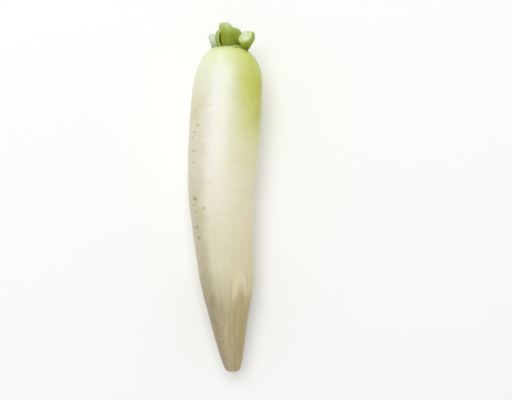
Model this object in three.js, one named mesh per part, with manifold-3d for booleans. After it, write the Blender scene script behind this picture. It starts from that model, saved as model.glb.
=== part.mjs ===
// A daikon radish as sold: one long white root and the short stubs of its cut leaf stalks.
// Millimetres, +Z up. The root lies on its side along Y, its crown towards +Y and its cut
// tip towards -Y. The finished group is centred over the origin and rests on z = 0.
//
// Each piece is first made in the crown's own frame, where the middle of the crown's flat
// top is the origin, +Y points out of the crown and +Z is the side that ends up on top.

import * as THREE from 'three';
import { mergeVertices } from 'three/addons/utils/BufferGeometryUtils.js';
import Module from 'manifold-3d';

const wasm = await Module();
wasm.setup();

const { clamp, degToRad, lerp } = THREE.MathUtils;

// ---------------------------------------------------------------------------------------
// Driving dimensions
// ---------------------------------------------------------------------------------------

// The root's half outline, from the cut tip to the crown, as [radius, height].
const TIP_HEIGHT = -289.8;
const TIP_FACE_RADIUS = 3;
const TIP_CORNER = [6.9, TIP_HEIGHT];
const TIP_EDGE = [8.5, -282];
const SKIN_LINE = [
  [9.5, -279],
  [11.3, -271],
  [14.6, -255],
  [18.2, -238],
  [21.4, -222.5],
  [23.8, -209],
  [25.6, -189],
  [28.1, -154],
  [30.6, -118],
  [31.75, -80],
  [31.6, -46],
  [30.5, -27],
  [27.8, -16.4],
  [24.5, -9.9],
  [20.2, -4.7],
  [16.2, -1.5],
  [12.4, 0.1],
  [8.0, 0.0],
  [0.0, 0.0],
];
const ROWS_PER_POINT = 3;
const ROOT_SIDES = 44;
const ROOT_FLATNESS = 0.975; // height of a section over its width

// How far the middle of the root lies to the side, as [height, sideways].
const CENTRE_LINE = [
  [TIP_HEIGHT, 3.8],
  [-244, 0.1],
  [-211, -1.5],
  [-172, -4.2],
  [-136, -6.1],
  [-92, -4.6],
  [-46, -1.8],
  [-20, 0.1],
  [0, 0.2],
];

// The root lies on the line under its centre of mass, where it has settled a little flat.
const REST_PITCH = 2.75; // degrees, tip down
const REST_FLAT_DEPTH = 0.8;

const GAP = 0.3; // between pieces that touch

// One leaf-stalk stub. Heights are above the crown's flat top. foot and head are [x, z]
// places of the stub's middle, at the crown and at its cut, bow is how far [x, z] it swells
// out half way between them, and rise is the height of the cut there. width and thick are
// [at the foot, at the cut]. facing is where its back looks, in degrees from +X towards +Z.
// Each cut is [how far its face leans from level, the way that it leans, how far it is
// moved outwards along its own face's normal]. shape changes ROUND_SECTION.
const STALKS = [
  {
    name: 'stalk_front', foot: [1.3, 11.0], head: [-2.0, 12.2], rise: 20.3, facing: 90,
    width: [17.0, 13.6], thick: [7.0, 6.2], cuts: [[2, 0, 0], [41, 0, 1.8], [50, 180, 3.9]],
  },
  {
    name: 'stalk_right', foot: [14.0, 9.0], head: [16.5, 9.6], rise: 7.0, facing: 90,
    width: [6.0, 15.0], thick: [7.6, 10.4],
    cuts: [[56.5, 106, 1.65], [8, 20, 8.2], [70, 51.6, 3.3]],
    shape: { edge: -0.05, groove: 0.04, square: 0.4 },
  },
  {
    name: 'stalk_front_left', foot: [-4.8, 9.4], head: [-6.2, 10.0], rise: 15.6, facing: 192,
    width: [8.0, 6.4], thick: [3.2, 4.9], cuts: [[30, 190, 0]], bow: [-3.7, 0],
    shape: { edge: -0.26, innerSquare: 0.4 },
  },
  {
    name: 'stalk_left', foot: [-9.7, 1.6], head: [-14.7, 2.2], rise: 12.2, facing: 176,
    width: [14.0, 11.4], thick: [6.2, 7.4], cuts: [[4, 180, 0], [50, 180, 1.8]],
    bow: [-0.8, 0.4],
  },
  {
    name: 'stalk_back', foot: [1.2, -12.6], head: [1.8, -15.4], rise: 12.0, facing: 275,
    width: [17.0, 13.4], thick: [6.8, 6.0], cuts: [[18, 275, 0]],
  },
  {
    name: 'stalk_back_left', foot: [-9.8, -8.6], head: [-12.2, -11.0], rise: 9.5, facing: 223,
    width: [14.0, 11.0], thick: [6.4, 5.6], cuts: [[14, 205, 0]],
  },
  {
    name: 'stalk_back_right', foot: [12.2, -5.4], head: [15.2, -7.4], rise: 8.0, facing: 333,
    width: [15.0, 11.4], thick: [6.6, 5.8], cuts: [[20, 330, 0]],
  },
  {
    name: 'stalk_inner_right', foot: [7.0, 5.6], head: [8.0, 6.2], rise: 16.8, facing: 76,
    width: [10.8, 12.0], thick: [6.0, 5.6], cuts: [[10, 0, 0], [48, 0, 1.0]],
  },
  {
    name: 'stalk_inner_left', foot: [-5.8, -0.4], head: [-7.0, -0.4], rise: 13.0, facing: 186,
    width: [12.0, 10.4], thick: [5.6, 5.0], cuts: [[15, 190, 0]],
  },
  {
    name: 'heart_stalk', foot: [1.8, -6.0], head: [2.4, -6.8], rise: 8.5, facing: 288,
    width: [10.5, 8.6], thick: [5.0, 4.4], cuts: [[12, 290, 0]],
  },
  {
    name: 'heart_bud', foot: [-0.2, 1.6], head: [-0.2, 1.9], rise: 6.0, facing: 105,
    width: [8.0, 6.2], thick: [5.4, 4.4], cuts: [[10, 110, 0]],
  },
  {
    name: 'scale_front', foot: [7.6, 13.7], head: [7.7, 14.1], rise: 0.0, facing: 66,
    width: [12.0, 10.6], thick: [1.8, 1.5], cuts: [[4, 66, 0]],
    shape: { edge: -0.1, square: 0.05, innerSquare: 0.1 },
  },
];
const STALK_SINK = 9; // how far a stub starts inside the root, before the root trims it
const STALK_SPARE = 14; // how far it runs past its cut, before it is cut
const FOOT_DEPTH = 4; // depth below the crown's top where a stub has its foot size
const MAX_REACH = 1.6; // how far a stub leans on past its cut, over its rise
const STALK_STEPS = 12;
const SECTION_SEGMENTS = 4; // for each quarter of a stub's section
const FOOT_WRAP = 13; // radius that a stub's section is bent to, at its foot
const HEAD_WRAP = 24; // and at its cut end

// A stub's section, one unit wide and one thick, with its back at +Y: the height where it
// is widest, the depth of the groove in its inner side, and how far out its back and its
// inner side are full.
const ROUND_SECTION = { edge: -0.3, groove: 0.16, square: 0.3, innerSquare: 0.27 };
const HANDLE = 0.28; // how far the curves' handles reach up and down from the widest place
const HANDLE_SHIFT = 1 / 15; // how much of that place's own height the upper one gives back

const COLOURS = {
  taproot: '#e9e6cf',
  stalk_front: '#93a83f',
  stalk_right: '#a9c65c',
  stalk_left: '#bccdb0',
  stalk_front_left: '#a3b65f',
  stalk_inner_right: '#8fa540',
  scale_front: '#c3c27f',
};
const OTHER_STALKS = '#9bb052';

// ---------------------------------------------------------------------------------------
// Solids
// ---------------------------------------------------------------------------------------

const UP = new THREE.Vector3(0, 1, 0);
const SPACE_SIZE = 600; // larger than the whole radish

// A closed geometry as a solid that can be cut. Shared corners are merged, and triangles
// that shrink to a line at a pole are left out.
function solidOf(geometry) {
  const bare = geometry.clone();
  bare.deleteAttribute('normal');
  bare.deleteAttribute('uv');
  const merged = mergeVertices(bare, 1e-4);
  const corners = [];
  const index = merged.index.array;
  for (let i = 0; i < index.length; i += 3) {
    const [a, b, c] = index.slice(i, i + 3);
    if (a !== b && b !== c && c !== a) corners.push(a, b, c);
  }
  return new wasm.Manifold(new wasm.Mesh({
    numProp: 3,
    vertProperties: new Float32Array(merged.attributes.position.array),
    triVerts: new Uint32Array(corners),
  }));
}

function geometryOf(solid) {
  const mesh = solid.getMesh();
  const geometry = new THREE.BufferGeometry();
  geometry.setAttribute('position', new THREE.BufferAttribute(mesh.vertProperties, 3));
  geometry.setIndex(new THREE.BufferAttribute(mesh.triVerts, 1));
  geometry.computeVertexNormals();
  return geometry;
}

// A large box that starts at a point and fills the space beyond it in one direction.
function spaceBeyond(point, direction) {
  const box = new THREE.BoxGeometry(SPACE_SIZE, SPACE_SIZE, SPACE_SIZE);
  box.translate(0, SPACE_SIZE / 2, 0);
  box.applyQuaternion(new THREE.Quaternion().setFromUnitVectors(UP, direction));
  box.translate(point.x, point.y, point.z);
  return solidOf(box);
}

// ---------------------------------------------------------------------------------------
// Root
// ---------------------------------------------------------------------------------------

const sideways = new THREE.CubicInterpolant(
  CENTRE_LINE.map(([height]) => height), CENTRE_LINE.map(([, side]) => side), 1,
);

function rootGeometry() {
  const outline = new THREE.Path();
  outline.moveTo(0, TIP_HEIGHT);
  outline.lineTo(TIP_FACE_RADIUS, TIP_HEIGHT);
  outline.quadraticCurveTo(...TIP_CORNER, ...TIP_EDGE);
  outline.splineThru(SKIN_LINE.map(([radius, height]) => new THREE.Vector2(radius, height)));
  const geometry = new THREE.LatheGeometry(outline.getPoints(ROWS_PER_POINT), ROOT_SIDES);
  const place = geometry.attributes.position;
  for (let i = 0; i < place.count; i += 1) {
    const height = place.getY(i);
    place.setX(i, place.getX(i) + sideways.evaluate(height)[0]);
    place.setZ(i, place.getZ(i) * ROOT_FLATNESS);
  }
  return geometry;
}

// ---------------------------------------------------------------------------------------
// Leaf-stalk stubs
// ---------------------------------------------------------------------------------------

// Section of a stub: a rounded back, thin edges and a shallow groove on the inner side.
// X runs across the stub and +Y is its back.
function stalkSection({ edge, groove, square, innerSquare }) {
  const upper = HANDLE - edge * HANDLE_SHIFT;
  const lower = edge - HANDLE;
  const low = groove - 0.5;
  const section = new THREE.Shape();
  section.moveTo(0.5, edge);
  section.bezierCurveTo(0.5, upper, square, 0.5, 0, 0.5);
  section.bezierCurveTo(-square, 0.5, -0.5, upper, -0.5, edge);
  section.bezierCurveTo(-0.5, lower, -innerSquare, low, 0, low);
  section.bezierCurveTo(innerSquare, low, 0.5, lower, 0.5, edge);
  return section;
}

// A stub before it is trimmed: its section swept from inside the crown up along a gentle
// bow, bent round the crown's middle at the foot and flatter towards the cut.
function stalkGeometry(stalk, gap) {
  const [footX, footZ] = stalk.foot;
  const [headX, headZ] = stalk.head;
  const [bowX, bowZ] = stalk.bow ?? [0, 0];
  const facing = degToRad(stalk.facing);
  const outward = new THREE.Vector3(Math.cos(facing), 0, Math.sin(facing));
  const across = new THREE.Vector3(-Math.sin(facing), 0, Math.cos(facing));
  const section = stalkSection({ ...ROUND_SECTION, ...stalk.shape });
  const geometry = new THREE.ExtrudeGeometry(section, {
    depth: 1, steps: STALK_STEPS, bevelEnabled: false, curveSegments: SECTION_SEGMENTS,
  });
  const place = geometry.attributes.position;
  const point = new THREE.Vector3();
  for (let i = 0; i < place.count; i += 1) {
    const along = place.getZ(i);
    const height = lerp(-STALK_SINK, stalk.rise + STALK_SPARE, along);
    const grown = clamp((height + FOOT_DEPTH) / (stalk.rise + FOOT_DEPTH), 0, MAX_REACH);
    const swell = 4 * grown * (1 - grown);
    const size = Math.min(grown, 1);
    const wrap = lerp(FOOT_WRAP, HEAD_WRAP, along);
    const angle = place.getX(i) * (lerp(...stalk.width, size) + 2 * gap) / wrap;
    const out = wrap + place.getY(i) * (lerp(...stalk.thick, size) + 2 * gap);
    point.set(
      lerp(footX, headX, grown) + bowX * swell,
      height,
      lerp(footZ, headZ, grown) + bowZ * swell,
    );
    point.addScaledVector(across, out * Math.sin(angle));
    point.addScaledVector(outward, out * Math.cos(angle) - wrap);
    place.setXYZ(i, point.x, point.y, point.z);
  }
  return geometry;
}

// A stub cut at its head. With a gap it is that much larger all round.
function stalkSolid(stalk, gap = 0) {
  const [headX, headZ] = stalk.head;
  let solid = solidOf(stalkGeometry(stalk, gap));
  for (const [lean, towards, outset] of stalk.cuts) {
    const face = new THREE.Vector3().setFromSphericalCoords(1, degToRad(lean), degToRad(90 - towards));
    const middle = new THREE.Vector3(headX, stalk.rise, headZ).addScaledVector(face, outset + gap);
    solid = solid.subtract(spaceBeyond(middle, face));
  }
  return solid;
}

// ---------------------------------------------------------------------------------------
// Assembly
// ---------------------------------------------------------------------------------------

const radish = new THREE.Group();

function addPiece(name, geometry) {
  const material = new THREE.MeshStandardMaterial({
    color: COLOURS[name] ?? OTHER_STALKS,
    roughness: name === 'taproot' ? 0.42 : 0.5,
    metalness: 0,
  });
  const piece = new THREE.Mesh(geometry, material);
  piece.name = name;
  radish.add(piece);
  return piece;
}

// The root is laid down and flattened where it rests.
const pitch = degToRad(REST_PITCH);
const laidRoot = rootGeometry().rotateX(pitch);
laidRoot.computeBoundingBox();
const floor = new THREE.Vector3(0, 0, laidRoot.boundingBox.min.z + REST_FLAT_DEPTH);
const down = new THREE.Vector3(0, 0, -1);
const settledRoot = solidOf(laidRoot).subtract(spaceBeyond(floor, down));
addPiece('taproot', geometryOf(settledRoot).rotateX(-pitch));

// Each stub is trimmed by the crown and by the stubs made before it.
let standing = solidOf(rootGeometry().translate(0, GAP, 0));
for (const stalk of STALKS) {
  addPiece(stalk.name, geometryOf(stalkSolid(stalk).subtract(standing)));
  standing = standing.add(stalkSolid(stalk, GAP));
}

radish.rotation.x = pitch;
const extent = new THREE.Box3().setFromObject(radish, true);
const centre = extent.getCenter(new THREE.Vector3());
radish.position.set(-centre.x, -centre.y, -extent.min.z);

export default radish;
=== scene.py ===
"""A daikon radish as sold: one long white root and the short stubs of its cut leaf stalks.

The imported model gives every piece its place. This script makes the visible surface of each
one: the skin of the root with its growth wrinkles and the marks of its side roots, and the
ribbed leaf-stalk stubs with their pale cut faces. It then lights them on a pale floor.

Sizes in the classes are millimetres in the crown's own frame, as in the model: the middle
of the crown's flat top is the origin, +Y points out of the crown and +Z is the side that
lies on top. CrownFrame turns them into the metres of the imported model.
"""

import logging
import math
from collections.abc import Callable
from dataclasses import dataclass
from enum import Enum
from functools import partial

import bpy
import numpy as np
from mathutils import Matrix, Vector


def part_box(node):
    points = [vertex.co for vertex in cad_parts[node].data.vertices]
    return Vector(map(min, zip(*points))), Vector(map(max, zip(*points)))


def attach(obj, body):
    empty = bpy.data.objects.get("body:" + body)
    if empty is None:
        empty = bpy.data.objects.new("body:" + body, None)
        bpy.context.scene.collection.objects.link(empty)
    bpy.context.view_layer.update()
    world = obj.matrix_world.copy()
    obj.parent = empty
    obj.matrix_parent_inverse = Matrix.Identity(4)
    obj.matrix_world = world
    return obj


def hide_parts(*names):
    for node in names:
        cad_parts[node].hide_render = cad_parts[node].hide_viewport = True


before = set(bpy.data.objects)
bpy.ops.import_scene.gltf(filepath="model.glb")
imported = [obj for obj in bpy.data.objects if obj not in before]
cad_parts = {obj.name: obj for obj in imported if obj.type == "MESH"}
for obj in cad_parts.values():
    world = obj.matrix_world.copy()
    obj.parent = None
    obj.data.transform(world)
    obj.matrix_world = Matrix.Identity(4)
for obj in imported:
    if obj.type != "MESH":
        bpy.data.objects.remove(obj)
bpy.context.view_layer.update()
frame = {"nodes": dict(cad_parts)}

log = logging.getLogger("radish")

MM = 0.001
ROUND_RADIUS = 30.0  # of the steady cylinder that the root's skin places are taken on
NOISE_MIDDLE = 0.5
NOISE_SWING = 2.0  # noise swings half of one to each side of its middle, and this makes it one

Pair = tuple[float, float]
Triple = tuple[float, float, float]
Stops = tuple[tuple[float, str], ...]
Fade = tuple[float, ...]  # two readings, and the share at each: 0 and 1 if not given
Socket = bpy.types.NodeSocket
Add = Callable[..., Socket]  # add_node, with its tree already given

SKIN_PLACE = "skin_place"  # on the root: a point's place round a steady cylinder, and its depth
SCAR = "scar"  # on the root: 1 at a side root's mark, 0 away from it
SCAR_PLACE = "scar_place"  # how far across and along the root the nearest one is, over its size
SMUDGE = "smudge"  # the rusty stain round each of them
# painted shade in the bottom of each wrinkle
CREASE_SHADE = "crease"  # on the root: 1 in the bottom of a wrinkle
# painted shade in the crevice round each stub's foot, over a darker green ring of skin there
FOOT_RING_AND_SHADE = "collar"  # on the root: 1 where a stub grows out of it
STALK_PLACE = "stalk_place"  # on a stub: its place round a steady cylinder, and its height
CUT = "cut"  # on a stub: 1 on the cut face
ACROSS = "across"  # on a stub: its section's two coordinates, and its height from foot to cut


# -------------------- Nodes --------------------


def linear(colour: str) -> tuple[float, float, float, float]:
    """Turns an sRGB hex colour into the linear one that shaders use.

    Args:
        colour: Six hex digits after a #.

    Returns:
        Red, green and blue from 0 to 1, and an alpha of 1.
    """
    parts = [int(colour[i : i + 2], 16) / 255 for i in (1, 3, 5)]
    return (*(p / 12.92 if p <= 0.04045 else ((p + 0.055) / 1.055) ** 2.4 for p in parts), 1.0)


class Node(Enum):
    """The usual nodes: each one's type, its settings, its inputs in turn, and its output."""

    ADD = ("ShaderNodeMath", {"operation": "ADD"})
    SUBTRACT = ("ShaderNodeMath", {"operation": "SUBTRACT"})
    MULTIPLY = ("ShaderNodeMath", {"operation": "MULTIPLY"})
    DIVIDE = ("ShaderNodeMath", {"operation": "DIVIDE"})
    MULTIPLY_ADD = ("ShaderNodeMath", {"operation": "MULTIPLY_ADD"})
    ABSOLUTE = ("ShaderNodeMath", {"operation": "ABSOLUTE"})
    VECTOR_SUBTRACT = ("ShaderNodeVectorMath", {"operation": "SUBTRACT"})
    VECTOR_MULTIPLY = ("ShaderNodeVectorMath", {"operation": "MULTIPLY"})
    VECTOR_DIVIDE = ("ShaderNodeVectorMath", {"operation": "DIVIDE"})
    SCALE = ("ShaderNodeVectorMath", {"operation": "SCALE"}, (0, "Scale"))
    DOT = ("ShaderNodeVectorMath", {"operation": "DOT_PRODUCT"}, (0, 1), "Value")
    LENGTH = ("ShaderNodeVectorMath", {"operation": "LENGTH"}, (0,), "Value")
    SEPARATE = ("ShaderNodeSeparateXYZ", {})
    COMBINE = ("ShaderNodeCombineXYZ", {})
    RANGE = ("ShaderNodeMapRange", {}, (0, 1, 2, 3, 4))
    FADE = ("ShaderNodeMapRange", {"interpolation_type": "SMOOTHSTEP"}, (0, 1, 2, 3, 4))
    NOISE = ("ShaderNodeTexNoise", {}, ("Vector", "Scale", "Detail", "Roughness", "W"))
    RAMP = ("ShaderNodeValToRGB", {})
    MIX = ("ShaderNodeMix", {"data_type": "RGBA"}, (0, 6, 7), 2)
    BUMP = ("ShaderNodeBump", {}, ("Strength", "Distance", "Height"))
    ATTRIBUTE = ("ShaderNodeAttribute", {}, (), "Fac")
    VECTOR_ATTRIBUTE = ("ShaderNodeAttribute", {}, (), "Vector")
    NAMED_NUMBER = ("GeometryNodeInputNamedAttribute", {"data_type": "FLOAT"}, ("Name",))
    NAMED_VECTOR = ("GeometryNodeInputNamedAttribute", {"data_type": "FLOAT_VECTOR"}, ("Name",))
    SAMPLE = ("GeometryNodeSampleIndex", {"domain": "POINT"}, ("Geometry", "Value", "Index"))
    STORE = (
        "GeometryNodeStoreNamedAttribute", {"domain": "POINT"}, ("Geometry", "Name", "Value"),
    )
    OFFSET = ("GeometryNodeSetPosition", {}, ("Geometry", "Offset"))

    def __init__(
        self,
        kind: str,
        settings: dict[str, str],
        inputs: tuple[int | str, ...] = (0, 1, 2),
        output: int | str = 0,
    ) -> None:
        """Keeps the four parts of the member's value by name."""
        self.kind, self.settings, self.inputs, self.output = kind, settings, inputs, output


def add_node(
    tree: bpy.types.NodeTree,
    kind: Node | str,
    *given: object,
    give: int | str | None = None,
    stops: Stops = (),
    **settings: object,
) -> Socket | None:
    """Adds one node with its settings and links.

    Args:
        tree: The tree that gets the node.
        kind: A usual node, or the type of any other.
        *given: A value, or the socket to link, for each input of a usual node in turn. Any
            node can be given a single dictionary of them instead, by the inputs' names.
        give: The output to return, by its name or number, if not the usual one.
        stops: A colour ramp's positions and hex colours.
        **settings: The node's own properties.

    Returns:
        The output asked for, or None from a node that has none.
    """
    output, inputs = 0, {}
    if isinstance(kind, Node):
        settings = {**kind.settings, **settings}
        output, inputs = kind.output, dict(zip(kind.inputs, given))
        kind = kind.kind
    if given and isinstance(given[0], dict):
        inputs = given[0]
    node = tree.nodes.new(kind)
    for name, value in settings.items():
        setattr(node, name, value)
    for key, value in inputs.items():
        if isinstance(value, Socket):
            tree.links.new(value, node.inputs[key])
        else:
            node.inputs[key].default_value = value
    for i, (position, colour) in enumerate(stops):
        ramp = node.color_ramp.elements
        stop = ramp[i] if i < 2 else ramp.new(position)
        stop.position = position
        stop.color = linear(colour)
    return node.outputs[output if give is None else give] if node.outputs else None


class GeometryTree:
    """A Geometry Nodes tree with named inputs. It ends in one plain, dressed mesh."""

    SOCKETS = {float: "NodeSocketFloat", int: "NodeSocketInt"}

    def __init__(self, name: str, inputs: dict[str, float | int | str]) -> None:
        """Starts the tree.

        Args:
            name: The tree's name.
            inputs: Each input's first value by its label, or its socket type if it has none.
        """
        self.tree = bpy.data.node_groups.new(name, "GeometryNodeTree")
        self.identifiers: dict[str, str] = {}
        for side in ("INPUT", "OUTPUT"):
            self.tree.interface.new_socket(
                "Geometry", in_out=side, socket_type="NodeSocketGeometry"
            )
        for label, value in {**inputs, "Material": "NodeSocketMaterial"}.items():
            kind = self.SOCKETS.get(type(value), value)
            socket = self.tree.interface.new_socket(label, in_out="INPUT", socket_type=kind)
            if kind is not value:
                socket.default_value = value
            self.identifiers[label] = socket.identifier
        self.given = self.tree.nodes.new("NodeGroupInput").outputs
        self.add: Add = partial(add_node, self.tree)

    def end(self, geometry: Socket) -> None:
        """Ends the tree.

        Args:
            geometry: The finished geometry, with or without instances.
        """
        for kind in ("RealizeInstances", "SetShadeSmooth"):
            geometry = self.add(f"GeometryNode{kind}", {"Geometry": geometry})
        dress = {"Geometry": geometry, "Material": self.given["Material"]}
        geometry = self.add("GeometryNodeSetMaterial", dress)
        self.add("NodeGroupOutput", {"Geometry": geometry})

    def run(self, piece: bpy.types.Object, values: dict[str, object]) -> bpy.types.Object:
        """Runs the tree on a piece and keeps the result as its plain mesh.

        Args:
            piece: The object whose mesh the tree starts from.
            values: The inputs to set, by label.

        Returns:
            The same object, with no modifier left on it.
        """
        modifier = piece.modifiers.new(self.tree.name, "NODES")
        modifier.node_group = self.tree
        for label, value in values.items():
            modifier[self.identifiers[label]] = value
        graph = bpy.context.evaluated_depsgraph_get()
        made = bpy.data.meshes.new_from_object(
            piece.evaluated_get(graph), preserve_all_data_layers=True, depsgraph=graph
        )
        piece.modifiers.clear()
        piece.data = made
        made.name = piece.name
        return piece


# -------------------- Meshes and lines --------------------


def mesh_piece(
    name: str,
    points: np.ndarray,
    faces: list[tuple[int, ...]],
    attributes: dict[str, np.ndarray] | None = None,
) -> bpy.types.Object:
    """Makes an object from points and faces.

    Args:
        name: The object's name.
        points: Places in metres, one row each.
        faces: The corners of each face, by point number.
        attributes: Values for each point: one number, or a row of three.

    Returns:
        The object, linked to the scene.
    """
    mesh = bpy.data.meshes.new(name)
    mesh.from_pydata(points.tolist(), [], faces)
    for key, values in (attributes or {}).items():
        flat = values.ndim == 1
        store = mesh.attributes.new(key, "FLOAT" if flat else "FLOAT_VECTOR", "POINT")
        store.data.foreach_set("value" if flat else "vector", values.astype(np.float32).ravel())
    mesh.polygons.foreach_set("use_smooth", [True] * len(mesh.polygons))
    mesh.update()
    piece = bpy.data.objects.new(name, mesh)
    bpy.context.collection.objects.link(piece)
    return piece


def ring_faces(rings: int, sides: int) -> list[tuple[int, ...]]:
    """Joins rings of points into a closed skin, with a pole before the first and after the last.

    Args:
        rings: How many rings there are. Their points come first, ring by ring, and then
            the two poles.
        sides: How many points each ring has, turning so that faces point outwards.

    Returns:
        The faces.
    """
    low_pole, high_pole, last = rings * sides, rings * sides + 1, (rings - 1) * sides
    around = [(i, (i + 1) % sides) for i in range(sides)]
    faces: list[tuple[int, ...]] = []
    for low in range(0, last, sides):
        faces += [(low + i, low + j, low + j + sides, low + i + sides) for i, j in around]
    for i, j in around:
        faces += [(low_pole, j, i), (high_pole, last + i, last + j)]
    return faces


def smooth_line(points: tuple[Pair, ...], at: np.ndarray) -> np.ndarray:
    """Follows a smooth curve through points.

    Args:
        points: The places where the value is known, as (place, value), in rising order.
        at: The places to read.

    Returns:
        The value at each place.
    """
    x, y = np.array(points).T
    slope = np.gradient(y, x)
    at = np.clip(at, x[0], x[-1])
    i = np.clip(np.searchsorted(x, at) - 1, 0, len(x) - 2)
    step = x[i + 1] - x[i]
    t = (at - x[i]) / step
    rise = y[i + 1] - y[i]
    start, finish = slope[i] * step, slope[i + 1] * step
    bend, twist = 3 * rise - 2 * start - finish, start + finish - 2 * rise
    return y[i] + t * start + t**2 * bend + t**3 * twist


def bezier(points: tuple[Pair, ...], steps: int) -> np.ndarray:
    """Reads a Bezier curve of any degree, its last point left out.

    Args:
        points: Its ends and, between them, its handles.
        steps: How many points to give.

    Returns:
        The points.
    """
    t, last = np.arange(steps)[:, None] / steps, len(points) - 1
    return sum(
        math.comb(last, k) * t**k * (1 - t) ** (last - k) * np.array(point, dtype=float)
        for k, point in enumerate(points)
    )


def run_of(line: np.ndarray) -> np.ndarray:
    """Gives the distance along a line at each of its points."""
    return np.concatenate([[0], np.cumsum(np.linalg.norm(np.diff(line, axis=0), axis=1))])


def evenly(line: np.ndarray, count: int, closed: bool = False) -> np.ndarray:
    """Spaces points evenly along a line.

    Args:
        line: The points of the line.
        count: How many points to give.
        closed: Whether the line goes back to its start. The start is then given only once.

    Returns:
        The points.
    """
    if closed:
        line = np.vstack([line, line[:1]])
    run = run_of(line)
    wanted = np.linspace(0, run[-1], count, endpoint=not closed)
    return np.stack([np.interp(wanted, run, line[:, k]) for k in range(line.shape[1])], axis=1)


# -------------------- Finishes --------------------


@dataclass(frozen=True)
class Pattern:
    """Noise over a surface, such as blotches, lines or grain."""

    density: float  # cells to a millimetre
    draw: Triple = (1.0, 1.0, 1.0)  # over that density, each way; small where cells are long
    detail: float = 2.0
    roughness: float = 0.5
    fade: Fade = ()  # from its grey level to a share

    def on(self, add: Add, place: Socket) -> Socket:
        """Lays the pattern on a surface.

        Args:
            add: Adds a node to the surface's tree.
            place: A point's place, in metres.

        Returns:
            The share of the pattern there, or its grey level if it has no fade.
        """
        place = add(Node.VECTOR_MULTIPLY, place, self.draw)
        grey = add(Node.NOISE, place, self.density / MM, self.detail, self.roughness)
        return add(Node.FADE, grey, *self.fade) if self.fade else grey


@dataclass(frozen=True)
class Oval:
    """An oval on the root's skin."""

    angle: float  # of its middle, in degrees from the top towards +X
    below: float  # and how far that is below the crown's top
    half_turn: float  # half its width, in degrees round the root
    half_length: float
    fade: Fade  # over the way from its middle to its edge
    end: Fade  # down the root, where it runs out
    colour: str

    RAGGED = 0.35  # how far noise moves its edge

    def on(self, add: Add, place: Socket, ragged: Socket) -> Socket:
        """Tells how far inside the oval a point is.

        Args:
            add: Adds a node to the skin's tree.
            place: The point's place round a steady cylinder.
            ragged: Noise round zero, which moves the oval's edge.

        Returns:
            1 inside and 0 outside.
        """
        parts = add(Node.SEPARATE, place).node.outputs
        turn = add("ShaderNodeMath", {0: parts["X"], 1: parts["Y"]}, operation="ARCTAN2")
        off = add(Node.COMBINE, turn, parts["Z"])
        middle = (math.radians(self.angle), self.below * MM, 0.0)
        half = (math.radians(self.half_turn), self.half_length * MM, 1.0)
        off = add(Node.VECTOR_DIVIDE, add(Node.VECTOR_SUBTRACT, off, middle), half)
        off = add(Node.MULTIPLY_ADD, ragged, self.RAGGED, add(Node.LENGTH, off))
        return add(Node.FADE, off, *self.fade)


def toward(add: Add, place: Socket, angle: float) -> Socket:
    """Tells how far a point of the root faces one way.

    Args:
        add: Adds a node to the tree.
        place: The point's place round a steady cylinder.
        angle: The way, in degrees from the top towards +X.

    Returns:
        1 straight towards it, 0 square to it and -1 away from it.
    """
    turn, reach = math.radians(angle), ROUND_RADIUS * MM
    return add(Node.DOT, place, (math.sin(turn) / reach, math.cos(turn) / reach, 0.0))


class Finish:
    """A finish of the real thing. Each kind works out its own surface."""

    name: str

    def surface(self, add: Add) -> dict[str, object]:
        """Gives the principled shader's inputs: values, and sockets of the tree add fills."""
        raise NotImplementedError

    def material(self) -> bpy.types.Material:
        """Builds the material.

        Returns:
            The finished material.
        """
        made = bpy.data.materials.new(self.name)
        made.use_nodes = True
        made.node_tree.nodes.clear()
        add = partial(add_node, made.node_tree)
        surface = add("ShaderNodeBsdfPrincipled", self.surface(add))
        add("ShaderNodeOutputMaterial", {"Surface": surface})
        return made


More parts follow.
